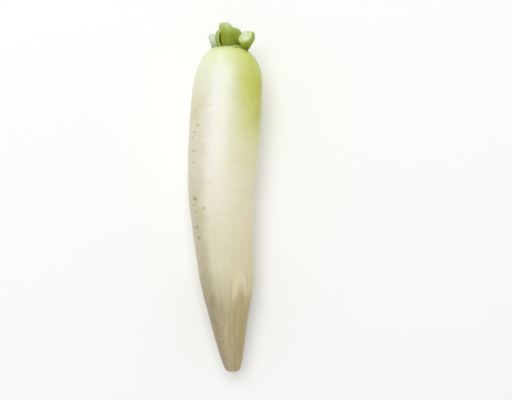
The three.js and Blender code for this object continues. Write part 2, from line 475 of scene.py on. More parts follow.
@dataclass(frozen=True)
class RootSkin(Finish):
    """Fresh daikon skin, as it grew and was washed.

    The shoulder that stood out of the soil is yellow-green and smooth, the body is a
    creamy white with a soft, slightly wet gloss, and the taper turns tan and fibrous.
    The skin is browner along the two rows of side roots. Light goes a little way in, so
    the shaded side stays bright.
    """

    name: str = "fresh_daikon_skin"
    length: float = 292.0  # from the crown's top, over which the colours below run
    pale_side: Stops = (  # each colour's place is millimetres below the crown's top
        (0, "#D5DF98"), (7, "#DFE7AE"), (14, "#E9EDCA"), (25, "#EEF0E0"), (45, "#EFEFE4"),
        (75, "#F0EFE3"), (110, "#EFECDF"), (140, "#E8E4D0"), (165, "#E1DBC2"),
        (190, "#DCD6BA"), (209, "#D3CDAC"), (219, "#C7BE9A"), (229, "#B7AB86"),
        (262, "#B5A785"), (292, "#B1A385"),
    )
    sun_side: Stops = (
        (0, "#B9C65A"), (10, "#C6CF5E"), (28, "#C6CC4C"), (50, "#C9CC52"), (66, "#D2D37A"),
        (88, "#DEDCA6"), (120, "#E3DDBC"), (150, "#E2DBBA"), (190, "#DAD1AA"),
        (208, "#D1C599"), (218, "#BFB182"), (230, "#B2A272"), (292, "#A99B6C"),
    )
    row_side: Stops = (
        (0, "#D9E3A2"), (14, "#E6EACB"), (42, "#E0DFC6"), (58, "#D8D4B4"), (76, "#DBD8C0"),
        (110, "#D7D2BA"), (140, "#CCC6AB"), (165, "#C4BD9F"), (190, "#BFB798"),
        (208, "#B3A988"), (226, "#9F9373"), (292, "#9D9072"),
    )
    burnt_colour: str = "#98A526"
    scar_colour: str = "#776232"
    smudge_colour: str = "#B9A472"
    crease_shade_colour: str = "#CBC2A0"
    # painted shade in the bottom of each wrinkle
    rust_colour: str = "#A2845F"
    streak_dark: str = "#86775A"
    streak_light: str = "#CFC6A4"
    growth_colour: str = "#E2DCC4"  # what it takes off the skin's colour
    string_colour: str = "#DDE0C0"
    pore_colour: str = "#A7AE5E"
    # painted shade: dark olive in the crevice round each stub's foot, over a darker green ring of
    # skin there
    foot_ring_and_shade_colour: str = "#616D1E"

    sun_angle: float = 78.0  # degrees from the top towards +X
    tongue_angle: float = 12.0  # where clean skin reaches furthest down the taper
    row_angle: float = -57.5  # the middle of one brown row; the other one is opposite
    blotches: Pattern = Pattern(0.045, detail=3.0)
    blotch_reach: float = 16.0  # how far they move the colours along the root
    sun_blotching: float = 0.5  # and round it, at the edge of the sunny side
    row_blotching: float = 0.16
    sun_edge: Fade = (0.2, 1.3)
    row_edge: Fade = (0.85, 1.08)
    burnt_round: Fade = (1.0, 1.5)
    burnt_down: Fade = (55 * MM, 100 * MM, 0.75, 0.0)
    tongues: Pattern = Pattern(0.085, (1.0, 1.0, 0.1), 3.0, 0.6)
    tongue_reach: Fade = (165 * MM, 225 * MM, 0.0, 44 * MM)
    clean_skin: Fade = (0.9, 0.998, 0.0, -0.12)
    pale_oval_rim: Oval = Oval(
        31.0, 222.0, 18.3, 24.7, (0.96, 1.03, 1.0, 0.0), (215 * MM, 228 * MM, 0.85, 0.0), "#E2D7B4"
    )
    tan_oval_patch: Oval = Oval(
        35.5, 228.0, 14.6, 19.7, (0.3, 1.15, 1.0, 0.0), (236 * MM, 249 * MM, 0.85, 0.0), "#B9A97E"
    )
    fibres: Pattern = Pattern(0.62, (1.0, 1.0, 0.06), 3.0, 0.6)
    fibrous: Fade = (195 * MM, 245 * MM, 0.04, 1.0)
    dark_streaks: Fade = (0.52, 0.74, 0.0, 0.42)
    light_streaks: Fade = (0.48, 0.33, 0.0, 0.5)
    rust: Pattern = Pattern(0.17, detail=4.0, fade=(0.54, 0.74, 0.0, 0.5))
    growth_lines: Pattern = Pattern(0.3, (0.22, 0.22, 1.0), 4.0, 0.6, (0.5, 0.75, 0.0, 0.17))
    strings: Pattern = Pattern(0.26, (1.0, 1.0, 0.04), 4.0, 0.6, (0.5, 0.75, 0.0, 0.12))
    pore_density: float = 0.095  # to a millimetre
    pore_edge: Fade = (0.04, 0.09, 0.35, 0.0)
    tear_density: float = 0.9
    tear_reach: Triple = (2.4 * MM, 2.0 * MM, 0.0)  # how far the slit's outline is torn
    slit_size: Pair = (1.25, 0.5)  # half its width across the root, and along it
    slit_edge: Fade = (0.2, 1.2, 0.85, 0.0)
    gloss: Fade = (20 * MM, 260 * MM, 0.30, 0.46)  # the roughness, from the crown to the tip
    gloss_spots: Pattern = Pattern(0.16, detail=4.0)
    gloss_change: float = 0.14
    grain: Pattern = Pattern(1.5, detail=3.0)
    fibre_relief: float = 3.0  # over the grain's
    relief: Pair = (0.18, 0.15 * MM)  # strength and height of all that is too fine for the mesh

    def zones(self, add: Add, place: Socket, depth: Socket) -> Socket:
        """Colours the skin from crown to tip, on its pale side, its sunny side and its rows.

        Args:
            add: Adds a node to the material's tree.
            place: The point's place round a steady cylinder.
            depth: Its depth below the crown's top, in metres.

        Returns:
            The colour.
        """
        # Blotches move the colours a few millimetres along the root, and the tan of the
        # taper reaches up in tongues about 8 mm wide.
        blotch = self.blotches.on(add, place)
        blotched = add(Node.MULTIPLY_ADD, blotch, self.blotch_reach * MM, depth)
        tongue = add(Node.SUBTRACT, self.tongues.on(add, place), NOISE_MIDDLE)
        clean = add(Node.FADE, toward(add, place, self.tongue_angle), *self.clean_skin)
        tongue = add(Node.ADD, clean, tongue)
        reach = add(Node.FADE, depth, *self.tongue_reach)
        shifted = add(Node.MULTIPLY_ADD, tongue, reach, blotched)
        top = self.blotch_reach / 2
        level = add(Node.RANGE, shifted, top * MM, (top + self.length) * MM)
        pale, sunny, row = (
            add(Node.RAMP, level, stops=tuple((mm / self.length, colour) for mm, colour in side))
            for side in (self.pale_side, self.sun_side, self.row_side)
        )
        rowward = add(Node.ABSOLUTE, toward(add, place, self.row_angle))
        rowward = add(Node.MULTIPLY_ADD, blotch, self.row_blotching, rowward)
        skin = add(Node.MIX, add(Node.FADE, rowward, *self.row_edge), pale, row)
        sunward = toward(add, place, self.sun_angle)
        sunward = add(Node.MULTIPLY_ADD, blotch, self.sun_blotching, sunward)
        skin = add(Node.MIX, add(Node.FADE, sunward, *self.sun_edge), skin, sunny)

        # The shoulder is deepest green where it stood full in the sun.
        burnt = add(Node.FADE, sunward, *self.burnt_round)
        burnt = add(Node.MULTIPLY, burnt, add(Node.FADE, shifted, *self.burnt_down))
        skin = add(Node.MIX, burnt, skin, linear(self.burnt_colour))

        # A long tan oval lies at the top of the taper, inside a pale rim.
        bare = self.tan_oval_patch.on(add, place, tongue)
        rim = self.pale_oval_rim.on(add, place, tongue)
        rim = add(Node.SUBTRACT, rim, bare, use_clamp=True)
        for share, oval in ((rim, self.pale_oval_rim), (bare, self.tan_oval_patch)):
            share = add(Node.MULTIPLY, share, add(Node.FADE, depth, *oval.end))
            skin = add(Node.MIX, share, skin, linear(oval.colour))
        return skin

    def slit(self, add: Add, place: Socket, scar: Socket) -> Socket:
        """Draws the torn slit, two or three millimetres long, that each side root left.

        Args:
            add: Adds a node to the material's tree.
            place: The point's place round a steady cylinder.
            scar: 1 at a side root's mark, and 0 away from it.

        Returns:
            The share of the slit's colour.
        """
        off = add(Node.VECTOR_ATTRIBUTE, attribute_name=SCAR_PLACE)
        torn = add(Node.NOISE, place, self.tear_density / MM, give="Color")
        torn = add(Node.VECTOR_SUBTRACT, torn, (NOISE_MIDDLE,) * 3)
        torn = add(
            "ShaderNodeVectorMath", {0: torn, 1: self.tear_reach, 2: off}, operation="MULTIPLY_ADD"
        )
        across, along = self.slit_size
        torn = add(Node.VECTOR_MULTIPLY, torn, (1 / (across * MM), 1 / (along * MM), 0.0))
        slit = add(Node.FADE, add(Node.LENGTH, torn), *self.slit_edge)
        return add(Node.MULTIPLY, slit, scar)

    def surface(self, add: Add) -> dict[str, object]:
        """Works out the surface.

        Args:
            add: Adds a node to the material's tree.

        Returns:
            The principled shader's inputs.
        """
        place = add(Node.VECTOR_ATTRIBUTE, attribute_name=SKIN_PLACE)
        scar, smudge, crease, collar = (
            add(Node.ATTRIBUTE, attribute_name=name) for name in (SCAR, SMUDGE, CREASE_SHADE, FOOT_RING_AND_SHADE)
        )
        depth = add(Node.SEPARATE, place, give="Z")
        skin = self.zones(add, place, depth)

        # Fibres run down the taper as fine light and dark streaks, under a millimetre wide,
        # with rusty blotches, a few millimetres wide, where it was rubbed.
        fibre = self.fibres.on(add, place)
        fibrous = add(Node.FADE, depth, *self.fibrous)
        for share, colour in (
            (add(Node.FADE, fibre, *self.dark_streaks), self.streak_dark),
            (add(Node.FADE, fibre, *self.light_streaks), self.streak_light),
            (self.rust.on(add, place), self.rust_colour),
        ):
            share = add(Node.MULTIPLY, share, fibrous)
            skin = add(Node.MIX, share, skin, linear(colour))

        # Faint growth lines cross the root, and fainter strings run down under its skin.
        for lines, colour in (
            (self.growth_lines, self.growth_colour),
            (self.strings, self.string_colour),
        ):
            share = lines.on(add, place)
            skin = add(Node.MIX, share, skin, linear(colour), blend_type="MULTIPLY")

        # Breathing pores are sparse specks under a millimetre wide, drawn a little coarser.
        pores = {"Vector": place, "Scale": self.pore_density / MM}
        pores = add("ShaderNodeTexVoronoi", pores, give="Distance")
        for share, colour in (
            (add(Node.RANGE, pores, *self.pore_edge), self.pore_colour),
            # painted shade in the bottom of each wrinkle
            (crease, self.crease_shade_colour),
            (smudge, self.smudge_colour),
            (self.slit(add, place, scar), self.scar_colour),
            # painted shade round each stub's foot, on its darker ring of skin
            (collar, self.foot_ring_and_shade_colour),
        ):
            skin = add(Node.MIX, share, skin, linear(colour))

        gloss = add(Node.RANGE, depth, *self.gloss)
        spots = self.gloss_spots.on(add, place)
        fibre = add(Node.MULTIPLY, fibre, fibrous)
        height = add(Node.MULTIPLY_ADD, fibre, self.fibre_relief, self.grain.on(add, place))
        return {
            "Base Color": skin,
            "Roughness": add(Node.MULTIPLY_ADD, spots, self.gloss_change, gloss),
            "IOR": 1.42,
            "Specular IOR Level": 0.4,
            "Subsurface Weight": 0.22,
            "Subsurface Radius": (1.0, 0.85, 0.5),
            "Subsurface Scale": 3.0 * MM,
            "Coat Weight": 0.1,
            "Coat Roughness": 0.22,
            "Normal": add(Node.BUMP, *self.relief, height),
        }


@dataclass(frozen=True)
class RootletSkin(Finish):
    """The stump of a side root, dried where it broke off: brown, dull and fibrous."""

    name: str = "dried_side_root"
    fibres: Pattern = Pattern(5.0)
    colours: Stops = ((0.35, "#85703F"), (0.65, "#AC9867"))  # of its bark, and where it is torn
    relief: Pair = (0.4, 0.1 * MM)  # strength and height of its fibres

    def surface(self, add: Add) -> dict[str, object]:
        """Works out the surface.

        Args:
            add: Adds a node to the material's tree.

        Returns:
            The principled shader's inputs.
        """
        fibre = self.fibres.on(add, add("ShaderNodeTexCoord", give="Object"))
        return {
            "Base Color": add(Node.RAMP, fibre, stops=self.colours),
            "Roughness": 0.75,
            "IOR": 1.45,
            "Normal": add(Node.BUMP, *self.relief, fibre),
        }


@dataclass(frozen=True)
class StalkSkin(Finish):
    """Fresh radish leaf stalk, cut with a knife.

    The skin is green, juicy and ribbed along its length, with a soft gloss. The cut face
    is pale, wet flesh with its strings showing as streaks, and the skin dries lighter
    along the edge of the cut.
    """

    name: str = "fresh_green_leaf_stalk"
    slot: str = "leaf_stalk_green"  # of the record
    # darkest at the foot: the stalk's own deeper green there, with painted shade where the stubs
    # crowd together at the crown
    skin: Stops = (  # from the foot, 0, to the cut, 1
        (0.0, "#48550A"), (0.2, "#6B790A"), (0.34, "#7C8B12"), (0.55, "#8A9B26"),
        (0.75, "#A1B34E"), (0.9, "#BFCD8C"), (1.0, "#CBD8A6"),
    )
    rib_colour: str = "#A3B245"
    margin_colour: str = "#B3C278"
    edge_colour: str = "#CCD8A4"
    flesh_colour: str = "#DAE6BC"
    flesh_streak: str = "#BACC80"
    flesh_back: str = "#98AC34"
    margin: Fade = (0.43, 0.5, 0.0, 0.6)  # from the stalk's middle, over its width
    roughness: float = 0.34
    blotches: Pattern = Pattern(0.14, detail=3.0)
    blotching: float = 0.5  # how far they move the colours, over the stub's height
    gloss_change: float = 0.15
    strings: Pattern = Pattern(0.7, (1.0, 1.0, 0.06))
    rib_share: Fade = (0.5, 0.75, 0.0, 0.3)
    drying: float = 0.8  # the share of the edge's colour at the cut
    flesh_strings: Pattern = Pattern(1.4 * MM, (9.0, 1.3, 1.0))  # over the section, not in mm
    streak_share: Fade = (0.38, 0.7, 0.0, 0.8)
    flesh_greening: Triple = (-0.3, 1.0, 0.0)  # the way over the section that flesh turns green
    green_mixing: float = 0.6  # how far the strings move that
    green_share: Fade = (0.38, 0.86, 0.0, 0.95)
    grain: Pattern = Pattern(1.4, detail=3.0)
    string_relief: float = 2.0  # over the grain's
    relief: Pair = (0.25, 0.2 * MM)  # strength and height of both

    def surface(self, add: Add) -> dict[str, object]:
        """Works out the surface.

        Args:
            add: Adds a node to the material's tree.

        Returns:
            The principled shader's inputs.
        """
        place, across = (
            add(Node.VECTOR_ATTRIBUTE, attribute_name=name) for name in (STALK_PLACE, ACROSS)
        )
        cut = add(Node.ATTRIBUTE, attribute_name=CUT)
        blotch = self.blotches.on(add, place)
        level = add(Node.MULTIPLY_ADD, blotch, self.blotching, add(Node.SEPARATE, across, give="Z"))
        level = add(Node.RANGE, level, self.blotching / 2, 1 + self.blotching / 2)
        skin = add(Node.RAMP, level, stops=self.skin)

        # Strings under the skin, a little over a millimetre apart, run up the stalk. Its
        # thin margins are paler than its back, and it dries lighter at the cut.
        strings = self.strings.on(add, place)
        off_middle = add(Node.ABSOLUTE, add(Node.SEPARATE, across, give="X"))
        for share, colour in (
            (add(Node.RANGE, strings, *self.rib_share), self.rib_colour),
            (add(Node.FADE, off_middle, *self.margin), self.margin_colour),
            (add(Node.MULTIPLY, cut, self.drying), self.edge_colour),
        ):
            skin = add(Node.MIX, share, skin, linear(colour))

        # The cut shows the same strings as streaks, and turns green towards the stalk's back.
        grain = self.flesh_strings.on(add, across)
        streak = add(Node.RANGE, grain, *self.streak_share)
        flesh = add(Node.MIX, streak, linear(self.flesh_colour), linear(self.flesh_streak))
        backward = add(Node.DOT, across, self.flesh_greening)
        backward = add(Node.MULTIPLY_ADD, grain, self.green_mixing, backward)
        green = add(Node.FADE, backward, *self.green_share)
        flesh = add(Node.MIX, green, flesh, linear(self.flesh_back))
        height = add(Node.MULTIPLY_ADD, strings, self.string_relief, self.grain.on(add, place))
        return {
            "Base Color": add(Node.MIX, cut, skin, flesh),
            "Roughness": add(Node.MULTIPLY_ADD, blotch, self.gloss_change, self.roughness),
            "IOR": 1.42,
            "Specular IOR Level": 0.3,
            "Subsurface Weight": 0.15,
            "Subsurface Radius": (0.6, 1.0, 0.25),
            "Subsurface Scale": 1.2 * MM,
            "Normal": add(Node.BUMP, *self.relief, height),
        }


@dataclass(frozen=True)
class PaintedBoard(Finish):
    """Matt white painted board under the radish. It reads as plain white."""

    name: str = "matt_white_board"
    colour: str = "#FBFBFA"

    def surface(self, add: Add) -> dict[str, object]:
        """Gives the principled shader's inputs, which need no node here."""
        return {"Base Color": linear(self.colour), "Roughness": 0.9, "Specular IOR Level": 0.1}


# -------------------- Root --------------------


@dataclass(frozen=True)
class RootShape:
    """The root's outline and its bend, in the crown's frame."""

    tip_height: float = -289.8
    tip_face_radius: float = 3.0
    tip_corner: Pair = (6.9, -289.8)
    tip_edge: Pair = (8.5, -282.0)
    skin_line: tuple[Pair, ...] = (  # radius and height, from the tip to the crown
        (9.5, -279.0), (11.3, -271.0), (14.6, -255.0), (18.2, -238.0), (21.4, -222.5),
        (23.8, -209.0), (25.6, -189.0), (28.1, -154.0), (30.6, -118.0), (31.75, -80.0),
        (31.6, -46.0), (30.5, -27.0), (27.8, -16.4), (24.5, -9.9), (20.2, -4.7),
        (16.2, -1.5), (12.4, 0.1), (8.0, 0.0), (0.0, 0.0),
    )
    centre_line: tuple[Pair, ...] = (  # height, and how far the middle lies to the side
        (-289.8, 3.8), (-244.0, 0.1), (-211.0, -1.5), (-172.0, -4.2), (-136.0, -6.1),
        (-92.0, -4.6), (-46.0, -1.8), (-20.0, 0.1), (0.0, 0.2),
    )
    flatness: float = 0.975  # height of a section over its width

    EDGE_STEPS = 12
    FINE_STEPS = 800

    def outline(self, count: int) -> np.ndarray:
        """Gives the half outline, evenly spaced from the tip's middle to the crown's.

        Args:
            count: How many points to give.

        Returns:
            Rows of radius and height.
        """
        face = (self.tip_face_radius, self.tip_height)
        edge = bezier((face, self.tip_corner, self.tip_edge), self.EDGE_STEPS)
        knots = np.array((self.tip_edge, *self.skin_line))
        run = run_of(knots)
        fine = np.linspace(0, run[-1], self.FINE_STEPS)
        skin = [smooth_line(tuple(zip(run, values)), fine) for values in knots.T]
        return evenly(np.vstack([(0.0, self.tip_height), edge, np.stack(skin, axis=1)]), count)

    def point(self, radius: np.ndarray, height: np.ndarray, angle: np.ndarray) -> np.ndarray:
        """Places points on the skin.

        Args:
            radius: The outline's radius at each point.
            height: Its height.
            angle: Radians round the root, from the top towards +X.

        Returns:
            Rows of X, Y and Z in millimetres.
        """
        x = smooth_line(self.centre_line, height) + radius * np.sin(angle)
        return np.stack([x, height + 0 * angle, radius * np.cos(angle) * self.flatness], axis=-1)


@dataclass(frozen=True)
class CrownFrame:
    """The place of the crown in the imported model."""

    matrix: Matrix

    PITCH = 2.75  # degrees that the root's tip points down, as it rests
    ROWS = 600
    SIDES = 88

    @classmethod
    def of(cls, shape: RootShape) -> "CrownFrame":
        """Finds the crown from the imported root.

        Args:
            shape: The root's shape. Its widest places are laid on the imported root's.

        Returns:
            The frame.
        """
        turn = Matrix.Rotation(math.radians(cls.PITCH), 4, "X")
        line = shape.outline(cls.ROWS)
        angle = np.linspace(0, 2 * np.pi, cls.SIDES, endpoint=False)
        skin = shape.point(line[:, 0, None], line[:, 1, None], angle[None, :]).reshape(-1, 3)
        laid = skin * MM @ np.array(turn.to_3x3()).T
        low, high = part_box("taproot")
        middle = (Vector(low) + Vector(high)) / 2
        off = (laid.min(axis=0) + laid.max(axis=0)) / 2
        shift = Vector((middle.x - off[0], middle.y - off[1], high[2] - laid[:, 2].max()))
        return cls(Matrix.Translation(shift) @ turn)

    def place(self, points: np.ndarray) -> np.ndarray:
        """Turns millimetres in the crown's frame into metres in the model's."""
        turn = np.array(self.matrix.to_3x3())
        return points * MM @ turn.T + np.array(self.matrix.translation)


@dataclass(frozen=True)
class RootMark:
    """The mark of one side root."""

    below: float  # distance below the crown's top
    angle: float  # degrees from the top towards +X
    size: float  # over an ordinary mark's
    tilt: float = 0.0  # degrees from straight across the root


class RootRelief(GeometryTree):
    """The tree that raises the root's lumps, wrinkles, fibres and marks."""

    SIZES = {
        "Lump Depth": 0.35 * MM,
        "Lump Size": 28 * MM,
        "Wrinkle Depth": 0.13 * MM,
        "Wrinkle Spacing": 3.1 * MM,
        "Wrinkle Bend": 9 * MM,
        "Wrinkle Rise": 35 * MM,
        "Fibre Depth": 0.12 * MM,
        "Fibre Spacing": 1.5 * MM,
        "Mark Depth": 0.32 * MM,
        "Mark Width": 1.8 * MM,
        "Mark Height": 0.9 * MM,
        "Collar Height": 0.5 * MM,
        "Collar Width": 2.2 * MM,
        "Rest Height": 0.0,
    }
    BENDS = Pattern(0.055, roughness=0.55)
    CREST = (0.45, 1.0)  # the part of a wave that is a wrinkle
    PATCHES = Pattern(0.21, (0.35, 0.35, 1.0), fade=(0.42, 0.62, 0.05, 1.0))
    BELOW_SHOULDER = (34 * MM, 60 * MM)
    ABOVE_TAPER = (80 * MM, 165 * MM, 1.0, 0.3)
    NEAR_ROW = (0.76, 0.985, 0.12, 1.0)
    FIBRE_DRAW = (1.0, 1.0, 0.03)
    FIBRE_CELLS = 0.7  # cells of noise from one fibre to the next
    FIBRE_DETAIL = 1.0
    FIBROUS = (190 * MM, 275 * MM, 0.0, 2.0)
    # These run out from a mark's middle, over half its width and height.
    DIMPLE = (0.0, 1.35, 1.0, 0.0)
    LIP_OUT = (0.9, 1.6)
    LIP_IN = (1.6, 2.8, 1.0, 0.0)
    FOLD_LINE = (0.0, 0.9, 1.0, 0.0)
    FOLD_REACH = (0.8, 4.2, 0.4, 0.0)
    LIP_HEIGHT = 0.3  # over the dimple's depth
    STAINS = {SCAR: (1.2, 1.75, 1.0, 0.0), SMUDGE: (0.3, 2.8, 0.4, 0.0)}
    # how much painted shade the bottom of a wrinkle gets
    CREASE_SHADE_SHARE = 0.55
    # patches of painted shade round each stub's foot
    FOOT_SHADE_PATCHES = Pattern(0.42, detail=3.0, fade=(0.4, 0.6, 0.2, 0.95))
    REST_BLEND = 0.6 * MM

    def __init__(self, row_angle: float) -> None:
        """Builds the tree.

        Args:
            row_angle: The middle of one row of side roots, in degrees from the top towards +X.
        """
        objects = {"Marks": "NodeSocketObject", "Stalks": "NodeSocketCollection"}
        super().__init__("root_relief", objects | self.SIZES)
        add, given = self.add, self.given
        self.where = add("GeometryNodeInputPosition")
        self.place = add(Node.NAMED_VECTOR, SKIN_PLACE)
        self.depth = add(Node.SEPARATE, self.place, give="Z")
        self.stored: dict[str, tuple[Socket, str]] = {}

        rise = add(Node.ADD, self.lumps(), self.fibres())
        rise = add(Node.ADD, rise, self.collar())
        rise = add(Node.SUBTRACT, rise, self.wrinkles(row_angle))
        rise = add(Node.SUBTRACT, rise, self.marks())
        kept = given["Geometry"]
        for name, (value, kind) in self.stored.items():
            kept = add(Node.STORE, kept, name, value, data_type=kind)
        raised = add(Node.OFFSET, kept, add(Node.SCALE, add("GeometryNodeInputNormal"), rise))

        # The root lies on the floor, a little flattened where it touches.
        parts = add(Node.SEPARATE, add("GeometryNodeInputPosition")).node.outputs
        low = {0: parts["Z"], 1: given["Rest Height"], 2: self.REST_BLEND}
        above = add("ShaderNodeMath", low, operation="SMOOTH_MAX")
        pressed = add(Node.COMBINE, parts["X"], parts["Y"], above)
        self.end(add("GeometryNodeSetPosition", {"Geometry": raised, "Position": pressed}))

    def lumps(self) -> Socket:
        """Raises soft lumps all over the skin.

        Returns:
            How far they rise.
        """
        add, given = self.add, self.given
        lumps = add(Node.NOISE, self.place, add(Node.DIVIDE, 1.0, given["Lump Size"]))
        rise = add(Node.MULTIPLY, add(Node.SUBTRACT, lumps, NOISE_MIDDLE), given["Lump Depth"])
        return add(Node.MULTIPLY, rise, NOISE_SWING)

    def fibres(self) -> Socket:
        """Raises the fibres that stand out along the taper.

        Returns:
            How far they rise.
        """
        add, given = self.add, self.given
        drawn_out = add(Node.VECTOR_MULTIPLY, self.place, self.FIBRE_DRAW)
        scale = add(Node.DIVIDE, self.FIBRE_CELLS, given["Fibre Spacing"])
        fibres = add(Node.NOISE, drawn_out, scale, self.FIBRE_DETAIL)
        fibres = add(Node.SUBTRACT, fibres, NOISE_MIDDLE)
        rise = add(Node.MULTIPLY, fibres, add(Node.FADE, self.depth, *self.FIBROUS))
        return add(Node.MULTIPLY, rise, given["Fibre Depth"])

    def wrinkles(self, row_angle: float) -> Socket:
        """Draws growth wrinkles round the root in broken lines, bent and unevenly spaced.

        They rise to each side of the rows of side roots.

        Args:
            row_angle: The middle of one row, in degrees from the top towards +X.

        Returns:
            How far they fall.
        """
        add, given = self.add, self.given
        rowward = add(Node.ABSOLUTE, toward(add, self.place, row_angle))
        bend = self.BENDS.on(add, self.place)
        bent = add(Node.MULTIPLY_ADD, bend, given["Wrinkle Bend"], self.depth)
        aside = add(Node.SUBTRACT, 1.0, rowward)
        bent = add(Node.MULTIPLY_ADD, aside, given["Wrinkle Rise"], bent)
        turns = add(Node.DIVIDE, bent, given["Wrinkle Spacing"])
        wave = {0: add(Node.MULTIPLY, turns, 2 * math.pi)}
        creases = add(Node.FADE, add("ShaderNodeMath", wave, operation="SINE"), *self.CREST)
        for share in (
            self.PATCHES.on(add, self.place),
            add(Node.FADE, self.depth, *self.BELOW_SHOULDER),
            add(Node.FADE, self.depth, *self.ABOVE_TAPER),
            add(Node.FADE, rowward, *self.NEAR_ROW),
        ):
            creases = add(Node.MULTIPLY, creases, share)
        # The bottom of each wrinkle also gets painted shade.
        self.stored[CREASE_SHADE] = (add(Node.MULTIPLY, creases, self.CREASE_SHADE_SHARE), "FLOAT")
        return add(Node.MULTIPLY, creases, given["Wrinkle Depth"])

    def marks(self) -> Socket:
        """Sinks a dimple with a raised lip at each side root, and a fold to each side of it.

        Returns:
            How far the skin falls.
        """
        add, given = self.add, self.given
        marks = {"Object": given["Marks"]}
        marks = add(
            "GeometryNodeObjectInfo", marks, give="Geometry", transform_space="ORIGINAL"
        )
        nearest = {"Geometry": marks, "Sample Position": self.where}
        nearest = add("GeometryNodeSampleNearest", nearest)
        size, tilt, outward, centre = (
            add(Node.SAMPLE, marks, own, nearest, data_type=kind)
            for own, kind in (
                (add(Node.NAMED_NUMBER, "size"), "FLOAT"),
                (add(Node.NAMED_NUMBER, "tilt"), "FLOAT"),
                (add(Node.NAMED_VECTOR, "outward"), "FLOAT_VECTOR"),
                (self.where, "FLOAT_VECTOR"),
            )
        )
        off = add(Node.VECTOR_SUBTRACT, self.where, centre)
        across = {0: outward, 1: (0.0, 1.0, 0.0)}
        across = add("ShaderNodeVectorMath", across, operation="CROSS_PRODUCT")
        flat = add(Node.COMBINE, add(Node.DOT, off, across), add(Node.SEPARATE, off, give="Y"))
        flat = {"Vector": flat, "Angle": tilt}
        flat = add("ShaderNodeVectorRotate", flat, rotation_type="Z_AXIS")
        self.stored[SCAR_PLACE] = (add(Node.VECTOR_DIVIDE, flat, size), "FLOAT_VECTOR")
        parts = add(Node.SEPARATE, flat).node.outputs
        u, v = (
            add(Node.DIVIDE, add(Node.ABSOLUTE, side), add(Node.MULTIPLY, given[half], size))
            for side, half in ((parts["X"], "Mark Width"), (parts["Y"], "Mark Height"))
        )
        spread = add(Node.ADD, add(Node.MULTIPLY, u, u), add(Node.MULTIPLY, v, v))
        spread = add("ShaderNodeMath", {0: spread}, operation="SQRT")
        dimple, lip, lip_in = (
            add(Node.FADE, spread, *fade) for fade in (self.DIMPLE, self.LIP_OUT, self.LIP_IN)
        )
        lip = add(Node.MULTIPLY, lip, lip_in)
        fold = add(Node.FADE, v, *self.FOLD_LINE)
        fold = add(Node.MULTIPLY, fold, add(Node.FADE, u, *self.FOLD_REACH))
        dip = add("ShaderNodeMath", {0: dimple, 1: fold}, operation="MAXIMUM")
        fall = add(Node.MULTIPLY_ADD, lip, -self.LIP_HEIGHT, dip)
        for name, fade in self.STAINS.items():
            stain = add(Node.FADE, spread, *fade)
            self.stored[name] = (add(Node.MULTIPLY, stain, size, use_clamp=True), "FLOAT")
        return add(Node.MULTIPLY, add(Node.MULTIPLY, fall, given["Mark Depth"]), size)

    def collar(self) -> Socket:
        """Swells the skin a little where a stub grows out of it, and stores where shade is painted
        round its foot.

        Returns:
            How far it rises.
        """
        add, given = self.add, self.given
        stalks = add("GeometryNodeCollectionInfo", {"Collection": given["Stalks"]})
        stalks = add("GeometryNodeRealizeInstances", {"Geometry": stalks})
        near = {0: stalks, "Sample Position": self.where}
        near = add("GeometryNodeProximity", near, give="Distance", target_element="FACES")
        collar = add(Node.FADE, near, 0.0, given["Collar Width"], 1.0, 0.0)
        # Where it meets a stub the skin also gets painted shade, in patches, over its darker ring.
        shade_patches = self.FOOT_SHADE_PATCHES.on(add, self.where)
        self.stored[FOOT_RING_AND_SHADE] = (add(Node.MULTIPLY, collar, shade_patches), "FLOAT")
        return add(Node.MULTIPLY, collar, given["Collar Height"])


class RootStumps(GeometryTree):
    """The tree that puts the dry stump of a side root in each mark."""

    SIZES = {
        "Stump Length": 0.8 * MM,
        "Stump Radius": 0.28 * MM,
        "Torn Radius": 0.14 * MM,
        "Stump Sink": 0.25 * MM,
        "Seed": 3,
    }
    LEAN = {0: (-0.4, -0.5, -0.4), 1: (0.4, 0.1, 0.4)}  # the least and the most each way
    CONE = {"Vertices": 7, "Side Segments": 3, "Fill Segments": 1}

    def __init__(self) -> None:
        """Builds the tree."""
        super().__init__("side_root_stumps", self.SIZES)
        add, given = self.add, self.given
        ends = {"Radius Top": given["Torn Radius"], "Radius Bottom": given["Stump Radius"]}
        cone = self.CONE | ends | {"Depth": given["Stump Length"]}
        cone = add("GeometryNodeMeshCone", cone, give="Mesh")
        outward = add(Node.NAMED_VECTOR, "outward")
        lean = self.LEAN | {"Seed": given["Seed"]}
        lean = add("FunctionNodeRandomValue", lean, data_type="FLOAT_VECTOR")
        leaning = add("ShaderNodeVectorMath", {0: outward, 1: lean}, operation="ADD")
        turn = add("FunctionNodeAlignRotationToVector", {"Vector": leaning}, axis="Z")
        sunk = add(Node.SCALE, outward, add(Node.MULTIPLY, given["Stump Sink"], -1.0))
        copies = {
            "Points": add(Node.OFFSET, given["Geometry"], sunk),
            "Instance": cone,
            "Rotation": turn,
            "Scale": add(Node.NAMED_NUMBER, "size"),
        }
        self.end(add("GeometryNodeInstanceOnPoints", copies))


